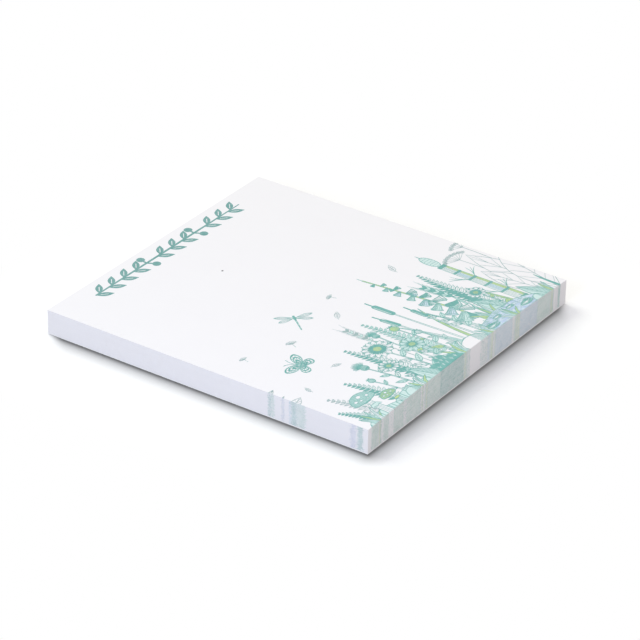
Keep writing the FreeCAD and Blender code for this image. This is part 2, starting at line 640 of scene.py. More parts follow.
def thistle(pen, centre, size, tilt):
    """A thistle head: a scaly bulb under a tuft of fine lines."""
    place = placer(tilt, centre, size)
    bulb = place(ellipse((0, 0), 0.52, 0.5, count=22))
    for slope in (48, -48):
        pen.hatch(bulb, tilt + slope, 0.26, 0.09)
    pen.fill(place(ellipse((0.0, -0.30), 0.40, 0.20)), "teal", FINE_ROW)
    pen.shape(bulb, 0.14, "pale")
    for k in range(23):
        direction = 28 + 124 * k / 22
        length = 1.45 + pen.between(-0.12, 0.14)
        start = polar(direction) * (0.36, 0.1) + (0.0, 0.30)
        pen.line(place([start, polar(direction, length) * (0.82, 1.0)]), 0.10, (1.0, 0.4))
    crown = [ellipse((0, 0.3), 0.36, 0.1, 0, 180, 360, 8), ellipse((0, 0.18), 0.95, 0.95, 0, 38, 142, 12)]
    pen.solid(place(np.concatenate(crown)), "pale", ROW)


def pod(pen, centre, size, tilt, fill=None):
    """A round seed capsule with a flat crown."""
    place = placer(tilt, centre, size)
    crown = [(-0.52, 0.62), (-0.36, 0.86), (-0.18, 0.70), (0.0, 0.90), (0.18, 0.70), (0.36, 0.86)]
    pen.solid(place(crown + [(0.52, 0.62), (0.0, 0.48)]), "teal", FINE_ROW)
    for k in range(-2, 3):
        pen.line(place(bezier((k * 0.08, -0.55), (k * 0.32, 0.0), (k * 0.10, 0.55), count=8)), 0.08)
    body = ((0, 0), 0.56, 0.58, 0, -90)
    shade = np.concatenate([ellipse(*body, 90, 12), bezier((0, 0.58), (0.22, 0.0), (0, -0.58), count=6)])
    pen.hatch(place(shade), tilt + 20, 0.28)
    pen.shape(place(ellipse(*body, 270, 24)), 0.13, fill)


def umbel(pen, base, top, rays, spread):
    """A flat flower head in grey: rays from the top of a stalk, each with a bunch of small rings."""
    for k in range(rays):
        end = top + spread * (polar(90 + (k - (rays - 1) / 2) * 124 / rays) * (1.15, 0.72))
        for m in range(6):
            spot = end + 0.42 * (polar(60 * m + 20 * k) * (1.0, 0.7))
            pen.line(ellipse(spot, 0.19, 0.17, count=7), 0.08, ink="grey")
        pen.solid(ellipse(end, 0.12, 0.12, count=6), "grey")
        pen.line(bezier(top, top + (end - top) * 0.6 - (0, 0.3), end, count=6), 0.07, ink="grey")
    pen.line(bowed(base, top, (0.5, 0.0), 12), 0.15, (1.0, 0.7), "grey")


def horsetail(pen, base, tip, width, segment):
    """A jointed stalk: ribbed segments with dark toothed collars, and a cone at the tip."""
    length, angle = heading(base, tip)
    place = placer(angle, base)
    cone = length * 0.17
    trunk = length - cone - 1.2

    def girth(x):
        """How thick the stalk is at a distance from its foot."""
        return width * (1.0 - 0.42 * x / length)

    pen.line(place([(length - 1.4, 0), (length, 0)]), 0.2, (1.0, 0.2))
    for k in range(7):
        x = trunk + cone * (k + 0.6) / 7
        half = girth(trunk) * 0.6 * math.sqrt(max(0.0, 1.0 - ((x - trunk) / cone * 2 - 1) ** 2))
        count = max(2, int(half * 5))
        for m in range(count):
            y = half * (2 * (m + 0.5 * (k % 2) + 0.25) / count - 1)
            pen.solid(place(ellipse((x, y * 0.85), 0.15, 0.12, count=6)))
    head = ellipse((trunk + cone / 2, 0), cone / 2, girth(trunk) * 0.62, count=20)
    pen.shape(place(head), 0.14, "pale")
    x = 0.0
    k = 0
    while x < trunk:
        end = min(x + segment * (1.0 - 0.3 * x / length), trunk)
        joint(pen, place, x, end, girth(x) / 2, girth(end) / 2, k % 2 == 0)
        if k and k % 2 == 0 and x < trunk * 0.75:
            whiskers(pen, place, x, girth(x) / 2)
        x = end
        k += 1


def joint(pen, place, x, end, w0, w1, tinted):
    """One segment of a horsetail, between two places on it and their half widths."""
    collar = [(end, -w1 * 1.12), (end, w1 * 1.12)]
    for m in range(6):
        y = w1 * 1.12 * (1 - 2 * (m + 0.5) / 6)
        collar += [(end - 0.75, y + w1 * 0.1), (end - 0.38, y - w1 * 0.12)]
    ring = [(end - 0.4, -w1 * 1.1), (end, -w1 * 1.12), (end, w1 * 1.12), (end - 0.4, w1 * 1.1)]
    pen.fill(place(collar), "teal", FINE_ROW)
    pen.outline(place(ring), 0.1)
    pen.cover(place(collar))
    for m in range(1, 6):
        share = 2 * m / 6 - 1
        pen.line(place([(x, w0 * share), (end, w1 * share)]), 0.08)

    def strip(low, high):
        """The part of the segment between two shares of its half width."""
        return place([(x, w0 * low), (end, w1 * low), (end, w1 * high), (x, w0 * high)])

    pen.fill(strip(-1, -0.45), "lime")
    if tinted:
        pen.fill(strip(-0.35, 0.7), "blue")
    pen.shape(strip(-1, 1), 0.12)


def whiskers(pen, place, x, half):
    """The thin branches at a horsetail's joint."""
    for side in (-1, 1):
        for m in range(3):
            bend = (x + 1.2 + m * 0.4, side * (half + 1.2 + m * 0.4))
            end = (x + 3.4 - m * 0.5, side * (half + 1.5 + m * 0.9))
            pen.line(place(bezier((x, side * half), bend, end, count=8)), 0.11, (1.0, 0.3))


def mushroom(pen, x, y, height, cap, tone, lean):
    """A mushroom with a spotted cap, gills and a skirted stem."""
    top = np.array([x + lean, y + height])
    brim = ellipse(top, cap / 2, cap * 0.12, lean * -3, 180, 360, 12)[1:-1]
    dome = np.concatenate([ellipse(top, cap / 2, cap * 0.42, lean * -3, 0, 180, 18), brim])
    for dx, dy, r in (
        (-0.26, 0.13, 0.075), (0.02, 0.25, 0.095), (0.27, 0.12, 0.07), (-0.08, 0.06, 0.06),
        (0.16, -0.01, 0.04),
    ):
        pen.shape(ellipse(top + np.array([dx, dy]) * cap, r * cap, r * cap * 0.8, count=12), 0.09)
    pen.hatch(dome, 72 + lean * 3, 0.22, 0.1)
    pen.shape(dome, 0.16, tone)
    for k in range(13):
        share = 2 * (k + 0.5) / 13 - 1
        outer = (share * cap * 0.48, -cap * 0.08 * (1 - share * share) - 0.03)
        pen.line([top + (share * cap * 0.1, -cap * 0.16), top + outer], 0.07)
    hollow = ellipse(top - (0, cap * 0.02), cap * 0.2, cap * 0.2, 0, 320, 220, 6)
    pen.cover(np.concatenate([ellipse(top, cap / 2, cap * 0.13, 0, 180, 360, 12), hollow]))
    foot = np.array([x, y - 1.5])
    spine = bezier(foot, (foot + top) / 2 + (lean * -0.3, 0), top - (0, cap * 0.08), count=10)
    skirt = [(-0.14, 0.06), (0.14, 0.06), (0.22, -0.10), (0.11, -0.06), (0.0, -0.11), (-0.11, -0.06)]
    pen.shape(np.array(skirt + [(-0.22, -0.10)]) * cap + spot_on(spine, 0.72)[0], 0.11, tone)
    for share in (-0.25, 0.0, 0.22):
        pen.line(spine + (share * cap * 0.25, 0), 0.07)
    pen.shape(band(spine, np.linspace(cap * 0.30, cap * 0.2, len(spine))), 0.13)


def stone(pen, x, y, wide, high, fill=None):
    """A pebble, flat below and shaded on one side."""
    pebble = []
    for a in np.linspace(0, 2 * math.pi, 22)[:-1]:
        c, s = math.cos(a), math.sin(a)
        across = c * wide / 2 * (1 + 0.08 * math.sin(3 * a + x))
        up = s * high * (0.9 if s > 0 else 0.35) * (1 + 0.06 * math.cos(2 * a + x))
        pebble.append((across + x, up + y))
    lit = x + wide * 0.12
    pen.hatch([(lit + (b - y) * 0.15 if a < lit else a, b) for a, b in pebble], 62, 0.24, 0.09)
    pen.shape(pebble, 0.13, fill)


def water(pen, x0, x1, depth):
    """A pool that runs off the free edge, with ripples and the reflections of reeds."""
    pool = low_form(
        x0, x1, 40, lambda t: depth * math.sin(math.pi * t) ** 0.35 + 0.12 * math.sin(t * 19.0)
    )
    x = x0 + 1.6
    while x < x1 - 1.6:
        length = pen.between(0.9, 2.4)
        reed = [(x + 0.10 * (-1) ** k, depth - 0.3 - length * k / 7) for k in range(8)]
        pen.line(reed, 0.14, (1.0, 0.3))
        x += pen.between(0.7, 1.9)
    y = 0.10
    while y < depth:
        x = x0 + pen.between(0.0, 1.0)
        while x < x1:
            length = pen.between(0.8, 3.2)
            wave = [(x + length * t, y + 0.07 * math.sin(t * 3.1 * length)) for t in np.linspace(0.0, 1.0, 6)]
            if inside(np.array([wave[0], wave[-1]]), pool).all():
                pen.line(wave, 0.11, (0.4, 0.4), "blueline" if pen.random.random() < 0.45 else "teal")
            x += length + pen.between(0.2, 0.9)
        y += 0.30
    pen.shape(pool, 0.12, "blue")


def lily(pen, x, y, size):
    """A floating leaf with a notch, and with its veins left bare."""
    notch = np.array([x + size * 0.1, y])
    pad = np.concatenate([ellipse((x, y), size, size * 0.36, 0, 20, 340, 24), [notch]])
    for k in range(9):
        pen.gap([notch, polar(40 + 35 * k) * (size * 0.85, size * 0.3) + (x, y)], 0.09)
    pen.shape(pad, 0.12, "teal", row=FINEST_ROW)


def butterfly(pen, centre, size, angle):
    """A butterfly with striped wings, seen from above."""
    place = placer(angle, centre, size)
    pen.solid(place(ellipse((0, 0.0), 0.055, 0.42, count=12)))
    for side in (-1, 1):
        flip = np.array([side, 1.0])
        pen.line(place(bezier((0.02, 0.4), (0.1, 0.75), (0.3, 0.92), count=8) * flip), 0.09)
        pen.solid(place(ellipse((0.31, 0.93), 0.04, 0.04, count=6) * flip))
        upper = chain(
            bezier((0.04, 0.18), (0.35, 0.85), (0.98, 0.86), (1.08, 0.62)),
            bezier((1.08, 0.62), (0.98, 0.1), (0.55, -0.08), (0.05, 0.0)),
        )
        lower = chain(
            bezier((0.05, -0.02), (0.5, -0.02), (0.82, -0.16), (0.78, -0.45)),
            bezier((0.78, -0.45), (0.62, -0.86), (0.2, -0.72), (0.04, -0.22)),
        )
        for wing, middle in ((upper * flip, (0.12, 0.1) * flip), (lower * flip, (0.1, -0.12) * flip)):
            for inner, outer in ((0.30, 0.46), (0.62, 0.76), (0.90, 0.99)):
                stripe = [middle + (wing - middle) * outer, (middle + (wing - middle) * inner)[::-1]]
                pen.fill(place(np.concatenate(stripe)), "teal", FINEST_ROW)
            for k in range(2, len(wing) - 2, 3):
                pen.line(place([middle, wing[k]]), 0.07)
            pen.shape(place(wing), 0.12)


def dragonfly(pen, centre, size, angle):
    """A dragonfly in fine lines, with veined wings."""
    place = placer(angle, centre, size)
    pen.solid(place(ellipse((0, 0.50), 0.085, 0.075, count=10)))
    pen.shape(place(ellipse((0, 0.28), 0.085, 0.17, count=12)), 0.11, "teal")
    for k in range(7):
        ring = ellipse((0, 0.08 - 0.17 * k), 0.045 - 0.003 * k, 0.09, count=8)
        pen.shape(place(ring), 0.09, "pale" if k % 2 else "teal")
    for side in (-1, 1):
        for lean, length in ((14, 1.12), (-16, 1.02)):
            tip = polar(lean) * length * (side, 1.0) + (0.0, 0.3)
            root = np.array([0.06 * side, 0.3 + 0.04 * math.copysign(1, lean)])
            pen.line(place([root, tip]), 0.07)
            for k in range(3, 10):
                spot = root + (tip - root) * k / 10
                pen.line(place([spot + (0, 0.09), spot - (0, 0.09)]), 0.05, ink="grey")
            pen.shape(place(lens(root, tip, 0.26, 0.62, 12)), 0.09)


def seed(pen, centre, size, angle):
    """A drifting seed with its parachute of hairs."""
    place = placer(angle, centre, size)
    pen.solid(place(ellipse((0, -1.0), 0.06, 0.17, count=8)))
    pen.line(place([(0, -0.85), (0, 0.0)]), 0.08, ink="grey")
    for k in range(11):
        direction = 22 + 136 * k / 10
        end = polar(direction) * (1.0, 0.75) * pen.between(0.9, 1.05)
        pen.line(place(bezier((0, 0), end * 0.5 - (0, 0.08), end, count=5)), 0.07, ink="grey")
        for turn in (-14, 14):
            pen.line(place([end, end + polar(direction + turn, 0.2)]), 0.06, ink="grey")


def outline_leaf(pen, centre, length, angle):
    """A falling leaf drawn with the thinnest pen."""
    place = placer(angle, centre)
    stalk = bezier((-length * 0.72, -0.25), (-length * 0.5, 0), (length * 0.3, 0.05), count=8)
    pen.line(place(stalk), 0.08, ink="grey")
    for k in range(3):
        x = length * (-0.25 + 0.2 * k)
        for side in (-1, 1):
            pen.line(place([(x, 0), (x + length * 0.13, side * length * 0.13)]), 0.07, ink="grey")
    pen.shape(place(lens((-length / 2, 0), (length / 2, 0), length * 0.42, 0.4, 12)), 0.09, ink="grey")


def ear(pen, base, top, grains, size, ink="teal"):
    """An ear of corn on a thin stalk, with long awns."""
    spine = bezier(base, (base[0], (base[1] + top[1]) / 2), top, count=24)
    for k in range(grains):
        spot, angle = spot_on(spine, 1.0 - 0.32 * (k + 0.5) / grains)
        for side in (-1, 1):
            end = spot + polar(angle + side * 28, size)
            pen.line([end, end + 1.6 * size * polar(angle + side * 12)], 0.07, (1.0, 0.3), ink)
            pen.shape(lens(spot, end, size * 0.42, 0.5, 8), 0.1, "pale" if k % 2 else ink, ink)
    pen.line(spine, 0.16, ink=ink)


def garland(pen, x0, x1, y):
    """The header: a straight twig with bold solid leaves and round berries."""
    for k in range(12):
        x = x0 + 0.6 + (x1 - x0 - 4.2) * k / 11
        if k in (4, 8):
            for dx, dy in ((0.3, 1.75), (1.0, -1.75)):
                pen.solid(ellipse((x + dx, y + dy), 0.9, 0.9), "deep")
                pen.line([(x, y), (x + dx, y + dy)], 0.45, ink="deep")
            continue
        for side in (1, -1):
            base = (x + 0.5 * side, y)
            tip = (x + 2.9 + 0.5 * side, y + side * 2.35)
            pen.gap([(base[0] + 0.7, y + 0.55 * side), (base[0] + 2.0, y + 1.6 * side)], 0.16)
            pen.fill(lens(base, tip, 1.5, 0.5, 14), "deep", SOLID_ROW)
    pen.line([(x0, y), (x1, y)], 0.5, (0.7, 0.5), "deep")


def leafy_stem(pen, base, tip, leaves, size, fills=("pale", None), bend=0.6):
    """A stalk with small pointed leaves on alternate sides."""
    spine = bowed(base, tip, (bend, 0.0), 24)
    for k in range(leaves):
        t = 0.12 + (0.85 - 0.12) * (k + 0.5) / leaves
        spot, angle = spot_on(spine, t)
        side = 1 if k % 2 else -1
        grown = size * (1.0 - 0.4 * t)
        point = spot + polar(angle + side * (48 + pen.between(-8, 8)), grown)
        veined_leaf(pen, spot, point, grown * 0.38, fills[k % len(fills)], 3, 0.08, 0.11, False)
    stem(pen, spine, 0.34)


def mound(pen, x0, x1, height, spacing):
    """A low rise that runs off the free edge, with upright pen lines."""
    hill = low_form(x0, x1, 24, lambda t: height * math.sin(math.pi * t) ** 0.6)
    pen.hatch(hill, 88, spacing, 0.16)
    pen.shape(hill, 0.12, "pale")


def bush(pen, x0, x1, height):
    """A dark leafy cushion that runs off the free edge."""
    cushion = low_form(
        x0, x1, 40, lambda t: height * math.sin(math.pi * t) ** 0.7 * (0.93 + 0.07 * math.sin(44.0 * t))
    )
    row = 0.5
    while row < height:
        x = x0 + 0.8 + (row * 1.7) % 1.1
        while x < x1 - 0.6:
            base = np.array([x, row])
            tip = base + (pen.between(-0.4, 0.4), 1.0)
            if inside(np.array([base, tip]), cushion).all():
                pen.gap([base, tip], 0.1)
                for side in (-1, 1):
                    pen.gap([base + (0.0, 0.35), base + (0.32 * side, 0.75)], 0.08)
            x += pen.between(1.0, 1.3)
        row += 1.25
    pen.solid(cushion)


def meadow_edge(pen):
    """What grows along the free edge, in front of everything else."""
    tuft(pen, 3.9, 5.4, 6, 2.5, ("pale", None, "lime"))
    mushroom(pen, 7.6, 0.2, 6.0, 6.2, "pale", 0.3)
    mushroom(pen, 12.3, 0.0, 3.5, 4.0, "lime", -0.2)
    stone(pen, 15.8, 0.3, 3.6, 1.7, "pale")
    tuft(pen, 18.4, 5.2, 6, 2.6, (None, "pale", "lime"))
    veined_leaf(pen, (23.6, -1.4), (21.4, 5.8), 3.2, "pale")
    mound(pen, 1.2, 12.0, 1.9, 0.9)
    mound(pen, 9.6, 22.0, 2.3, 1.3)
    for x0, x1, height in ((22.8, 27.6, 3.0), (28.0, 32.4, 2.7), (25.2, 30.8, 4.4)):
        bush(pen, x0, x1, height)
    tuft(pen, 32.4, 6.4, 7, 2.8, (None, "lime", "pale"))
    stone(pen, 37.6, 0.2, 6.6, 3.4)
    stone(pen, 34.9, 0.0, 2.6, 1.5)
    for x, y, size in ((45.0, 1.2, 1.9), (48.4, 2.6, 1.3), (57.2, 1.3, 2.0), (53.4, 2.9, 1.2)):
        lily(pen, x, y, size)
    for x in (44.6, 57.8):
        daisy(pen, (x, 1.8), 1.0, 8, 0.7)
    tuft(pen, 42.7, 5.0, 5, 1.8, ("pale", "lime", None))
    tuft(pen, 51.2, 5.4, 6, 2.0, (None, "pale", "lime"))
    stone(pen, 60.4, 0.3, 2.8, 1.6, "pale")
    water(pen, 41.0, 61.6, 4.3)
    veined_leaf(pen, (63.0, -1.6), (61.2, 6.4), 3.2, "pale")
    tuft(pen, 64.2, 6.0, 6, 2.4, ("lime", None, "pale"))
    grass(pen, 67.3, 7.4, 0.6, 0.7, "teal")


def meadow_flowers(pen):
    """The row of flowers behind the grass."""
    daisy(pen, (24.6, 14.6), 3.5, 13, 0.9, solid=True)
    daisy(pen, (29.9, 10.2), 2.9, 12, 0.86, "pale")
    daisy(pen, (20.6, 9.3), 2.3, 11, 0.9)
    thistle(pen, (17.4, 12.6), 1.75, 12)
    thistle(pen, (28.5, 17.5), 1.5, -8)
    pod(pen, (32.9, 16.2), 1.75, -6, "lime")
    pod(pen, (14.3, 8.9), 1.25, 10, "pale")
    pod(pen, (34.6, 11.8), 1.3, -14)
    daisy(pen, (54.4, 11.4), 2.4, 11, 0.88, solid=True)
    leafy_stem(pen, (25.4, -1.0), (24.8, 11.6), 5, 4.2, bend=0.5)
    leafy_stem(pen, (29.0, -1.0), (29.8, 8.0), 4, 3.4, bend=-0.4)
    leafy_stem(pen, (20.4, -1.0), (20.6, 7.2), 3, 3.0)
    leafy_stem(pen, (18.4, -1.0), (17.5, 11.8), 5, 3.0, (None, "pale"), 0.5)
    leafy_stem(pen, (28.0, 4.0), (28.5, 16.7), 4, 3.2, ("lime", None), -0.4)
    leafy_stem(pen, (32.4, -1.0), (33.0, 15.2), 5, 3.6, ("pale", "lime"))
    leafy_stem(pen, (15.0, -1.0), (14.3, 8.2), 3, 2.6)
    leafy_stem(pen, (35.4, -1.0), (34.7, 11.0), 4, 2.6)
    leafy_stem(pen, (54.0, 2.0), (54.4, 9.4), 3, 3.0, ("lime", "pale"))
    tuft(pen, 48.8, 7.6, 7, 2.8, ("lime", "pale", None), 2.0)
    veined_leaf(pen, (53.0, 2.4), (50.6, 10.2), 3.8, "pale")
    fern(pen, (22.4, 1.0), (21.6, 10.0), (20.4, 19.4), 3.0, 17)
    fern(pen, (30.6, 1.0), (31.6, 12.0), (30.6, 22.4), 3.0, 19, False, "pale")
    fern(pen, (12.0, 0.0), (12.6, 6.0), (10.4, 12.6), 2.4, 12)


def meadow_spires(pen):
    """The tall plants at the back."""
    cattail(pen, 37.4, 26.6, 0.6)
    cattail(pen, 35.2, 22.4, -0.9, 4.4, 1.1)
    cattail(pen, 40.2, 19.6, 0.9, 3.8, 1.0)
    bell_spire(pen, (46.4, -1.0), (45.4, 32.2), 15, 3.5)
    horsetail(pen, (58.4, -1.0), (60.0, 29.4), 2.9, 4.4)
    fern(pen, (54.0, 0.0), (51.6, 12.0), (53.6, 24.6), 4.0, 23)
    ear(pen, (50.6, -1.0), (50.0, 20.6), 7, 1.5)
    leafy_stem(pen, (42.0, 3.0), (41.6, 14.6), 6, 3.4)
    for x, height, lean, width, fill in (
        (38.6, 18.0, 3.6, 0.8, "lime"), (36.6, 17.0, -3.0, 0.8, "pale"), (43.6, 15.6, -2.4, 0.8, None),
        (48.4, 17.0, 2.4, 0.9, "pale"), (56.4, 15.0, -1.6, 0.9, "lime"),
    ):
        grass(pen, x, height, lean, width, fill)


def meadow_behind(pen):
    """The large leaves and flower heads in thin grey outlines, and two small ferns at the left."""
    for base, tip, width in (
        ((66.4, -1.0), (71.8, 17.6), 7.4), ((64.0, -1.0), (62.6, 15.4), 5.6),
        ((66.4, 2.0), (66.8, 21.6), 6.0),
    ):
        veined_leaf(pen, base, tip, width, None, 5, 0.08, 0.12, False, "grey", 0.5)
    umbel(pen, (63.6, 4.0), (64.2, 21.4), 8, 3.4)
    umbel(pen, (68.0, 10.0), (69.2, 24.0), 6, 2.6)
    fern(pen, (7.2, 0.0), (5.8, 7.0), (4.0, 12.0), 2.2, 11, False, ink="grey")
    fern(pen, (4.6, 0.0), (3.2, 4.0), (1.4, 7.6), 1.5, 10)
    ear(pen, (26.6, 2.0), (27.0, 23.4), 6, 1.3, "grey")


def in_the_air(pen):
    """What floats above the meadow."""
    butterfly(pen, (11.6, 23.2), 3.3, 24)
    dragonfly(pen, (24.8, 33.6), 3.6, -38)
    for centre, size, angle in (((17.0, 29.0), 1.15, -24), ((36.4, 33.4), 1.0, 16), ((7.0, 33.0), 0.9, -10)):
        seed(pen, centre, size, angle)
    for centre, length, angle in (
        ((31.2, 28.4), 2.6, 38), ((15.4, 17.6), 2.0, -28), ((53.2, 30.4), 2.8, 62), ((5.0, 17.0), 1.8, 74),
    ):
        outline_leaf(pen, centre, length, angle)


def leaf_tips(pen):
    """The tips of leaves that reach in over the left edge."""
    for y, reach, width in ((21.9, 1.2, 1.0), (19.0, 0.7, 0.5), (16.2, 2.0, 1.9)):
        veined_leaf(pen, (-1.6, y - 0.3), (reach, y + 0.3), width, None, 4, 0.07, 0.1, False, "grey")


def draw_note():
    """The whole drawing, from the front to the back."""
    pen = Sketch(DRAWING_SEED)
    meadow_edge(pen)
    meadow_flowers(pen)
    meadow_spires(pen)
    meadow_behind(pen)
    in_the_air(pen)
    leaf_tips(pen)
    garland(pen, 10.0, 57.5, 71.0)
    pen.solid(ellipse((32.7, 57.0), 0.27, 0.21, count=9), "speck")
    return pen


def arch_at(x, y):
    """How far the top note stands off its flat place, in millimetres."""
    across = 1.0 - (2.0 * x / NOTE_WIDTH - 1.0) ** 2
    loose = np.clip(1.0 - y / (NOTE_LENGTH - GLUE_BAND), 0.0, 1.0)
    return FREE_EDGE_RISE * across * loose ** 2


def in_frame(x, y, level, lift=0.0):
    """Points in the frame, for page positions and a height counted in sheets from the card."""
    x, y, level = np.broadcast_arrays(x, y, level)
    inner_x, inner_y = np.clip(x, 0.0, NOTE_WIDTH), np.clip(y, 0.0, NOTE_LENGTH)
    z = CARD_THICKNESS + level * (SHEET_PITCH + arch_at(inner_x, inner_y) / SHEET_COUNT) + lift
    return np.stack([x - NOTE_WIDTH / 2, y - NOTE_LENGTH / 2, z], axis=-1) * MM


class Slabs:
    """Collects closed slabs and makes one piece of them."""

    def __init__(self):
        self.points = []
        self.places = []
        self.faces = []
        self.count = 0

    def add(self, rings, places):
        """A slab through rings of four corners: left and right on top, right and left below."""
        first = self.count + 4 * np.arange(len(rings) - 1)[:, None, None]
        corner = np.arange(4)[:, None]
        after = (corner + 1) % 4
        sides = np.concatenate([corner, after, after + 4, corner + 4], axis=1)
        self.faces.append((first + sides).reshape(-1, 4))
        last = self.count + 4 * (len(rings) - 1)
        self.faces.append([[self.count + k for k in (0, 3, 2, 1)], [last + k for k in range(4)]])
        self.points.append(rings.reshape(-1, 3))
        self.places.append(places.reshape(-1, 2))
        self.count = last + 4

    def piece(self, name, colour, bare):
        """One piece of ink with a flat layout of its surface."""
        faces = np.concatenate(self.faces)
        places = np.concatenate(self.places)
        mesh = bpy.data.meshes.new(name)
        mesh.from_pydata(np.concatenate(self.points).tolist(), [], faces.tolist())
        layout = mesh.uv_layers.new(name="OFBake")
        layout.uv.foreach_set("vector", places[faces.ravel()].astype(np.float32).ravel())
        mesh.materials.append(ink_material(name, colour, bare))
        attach(in_scene(name, mesh), "root")


def in_scene(name, data):
    """A new object in the scene."""
    thing = bpy.data.objects.new(name, data)
    bpy.context.scene.collection.objects.link(thing)
    return thing


def page_slab(slabs, left, right, lift):
    """A slab on the top note, between two paths."""
    left, right = np.clip(left, 0.0, PAGE), np.clip(right, 0.0, PAGE)
    corners = (left, right, right, left)
    lifts = (lift, lift, -INK_ROOT, -INK_ROOT)
    rings = [in_frame(c[:, 0], c[:, 1], SHEET_COUNT, up) for c, up in zip(corners, lifts)]
    slabs.add(np.stack(rings, axis=1), np.stack(corners, axis=1) / NOTE_LENGTH)


def add_print(sketch):
    """The ink on the top note, one piece for each colour."""
    inks = {}
    for a, b, c, d, ink in sketch.fields:
        page_slab(inks.setdefault(ink, Slabs()), np.array([a, d]), np.array([b, c]), FIELD_LIFT)
    for k, (path, widths, ink) in enumerate(sketch.strokes):
        lift = LINE_LIFT + LINE_LIFT_STEP * (k * LINE_LIFT_STRIDE % LINE_LIFT_STEPS)
        side = sideways(path) * (widths / 2)[:, None]
        page_slab(inks.setdefault(ink, Slabs()), path + side, path - side, lift)
    for ink, slabs in inks.items():
        slabs.piece("print_" + ink, INKS[ink], PRINT_BARE)


def merged(spans):
    """Spans of the same ink, joined where they overlap."""
    joined = []
    for low, high in sorted(spans):
        if joined and low < joined[-1][1]:
            joined[-1][1] = max(joined[-1][1], high)
        else:
            joined.append([low, high])
    return joined


def cut_slab(slabs, axis, far, low, high, sheet, proud):
    """The ink of one line or field on the cut edge of one sheet."""
    count = max(1, math.ceil((high - low) / LONGEST_PIECE)) + 1
    along = np.linspace(low, high, count)
    edge, outward = (PAGE[axis], 1.0) if far else (0.0, -1.0)
    left, right = sorted((edge + outward * proud, edge - outward * CUT_ROOT), reverse=axis == 1)
    bottom, top = sheet + CUT_BAND[0], sheet + CUT_BAND[1]
    rings, places = [], []
    for across, level in ((left, top), (right, top), (right, bottom), (left, bottom)):
        spot = (across, along) if axis == 0 else (along, across)
        rings.append(in_frame(*spot, level))
        height = (2 * axis + far + level / SHEET_COUNT) / 4
        places.append(np.stack([along / NOTE_LENGTH, np.full(count, height)], axis=1))
    slabs.add(np.stack(rings, axis=1), np.stack(places, axis=1))


def cut_marks(sketch):
    """All marks on the cut sides: axis, end of it, from, to, ink and how much each one shakes."""
    spans = {}
    for axis, far, low, high, ink in sketch.cuts:
        tone = "blue" if ink == "blueline" else ink
        spans.setdefault((axis, far, tone), []).append((low, high))
    marks = [
        (axis, far, low, high, ink, CUT_SHAKE)
        for (axis, far, ink), found in spans.items() for low, high in merged(found)
    ]
    return marks + [(0, False, low, high, ink, LOWER_CUT_SHAKE) for low, high, ink in LOWER_NOTE_CUTS]


def add_cut_edges(sketch):
    """The ink that shows on the four cut sides, sheet by sheet and a little ragged."""
    rough = random.Random(CUT_SEED)
    marks = cut_marks(sketch)
    inks = {}
    order = list(CUT_INKS)
    for sheet in range(SHEET_COUNT):
        drift = rough.gauss(0.0, CUT_DRIFT)
        for axis, far, low, high, ink, shake in marks:
            low = max(low + drift + rough.gauss(0.0, shake), 0.0)
            high = min(high + drift + rough.gauss(0.0, shake), PAGE[1 - axis])
            if high - low > SHORTEST_CUT:
                proud = CUT_LIFT + CUT_LIFT_STEP * order.index(ink)
                cut_slab(inks.setdefault(ink, Slabs()), axis, far, low, high, sheet, proud)
    for ink, slabs in inks.items():
        slabs.piece("cut_" + ink, CUT_INKS[ink], CUT_BARE)


class Nodes:
    """The node tree of a material or a world, with one short call for each node."""

    def __init__(self, owner):
        owner.use_nodes = True
        self.owner = owner
        self.tree = owner.node_tree
        self.tree.nodes.clear()

    def add(self, kind, *ordered, settings=None, **named):
        """Adds a node. Its inputs are given in order or by name, as a socket to link or as a value."""
        node = self.tree.nodes.new("ShaderNode" + kind)
        for key, value in (settings or {}).items():
            setattr(node, key, value)
        for key, value in [*enumerate(ordered), *named.items()]:
            socket = node.inputs[key.replace("_", " ") if isinstance(key, str) else key]
            if isinstance(value, bpy.types.NodeSocket):
                self.tree.links.new(value, socket)
            elif value is not None:
                socket.default_value = value
        return node.outputs

    def math(self, operation, *values, clamp=False):
        """A sum, product or other step of arithmetic."""
        return self.add("Math", *values, settings={"operation": operation, "use_clamp": clamp})[0]

    def mix(self, factor, first, second, blend="MIX"):
        """A mix of two colours. Five inputs for other kinds of values lie before them."""
        unused = (None,) * 5
        settings = {"data_type": "RGBA", "blend_type": blend}
        return self.add("Mix", factor, *unused, first, second, settings=settings)[2]

    def share(self, value, low, high, kind="LINEAR"):
        """How far a value lies between two others, from 0 to 1."""
        return self.add("MapRange", value, low, high, settings={"interpolation_type": kind})[0]

    def noise(self, place, scale, detail, roughness=0.5):
        """Soft random values."""
        return self.add("TexNoise", Vector=place, Scale=scale, Detail=detail, Roughness=roughness)[0]

    def ramp(self, value, stops):
        """A ramp of greys, given as pairs of place and tone."""
        grey = self.add("ValToRGB", value)[0]
        marks = grey.node.color_ramp.elements
        while len(marks) < len(stops):
            marks.new(0.5)
        for mark, stop in zip(marks, stops):
            mark.position = stop[0]
        for mark, stop in zip(marks, stops):
            mark.color = (stop[1], stop[1], stop[1], 1.0)
        return grey

    def matt(self, colour, height, roughness, specular, strength, depth):
        """The finished material: a matt surface with fine relief."""
        relief = self.add("Bump", Strength=strength, Distance=depth, Height=height)[0]
        shader = self.add("BsdfPrincipled", Base_Color=colour, Roughness=roughness, Normal=relief,
                          Specular_IOR_Level=specular)
        return self.finish(shader[0])

    def finish(self, shader):
        """Links the surface and returns the material."""
        self.add("OutputMaterial", shader)
        return self.owner


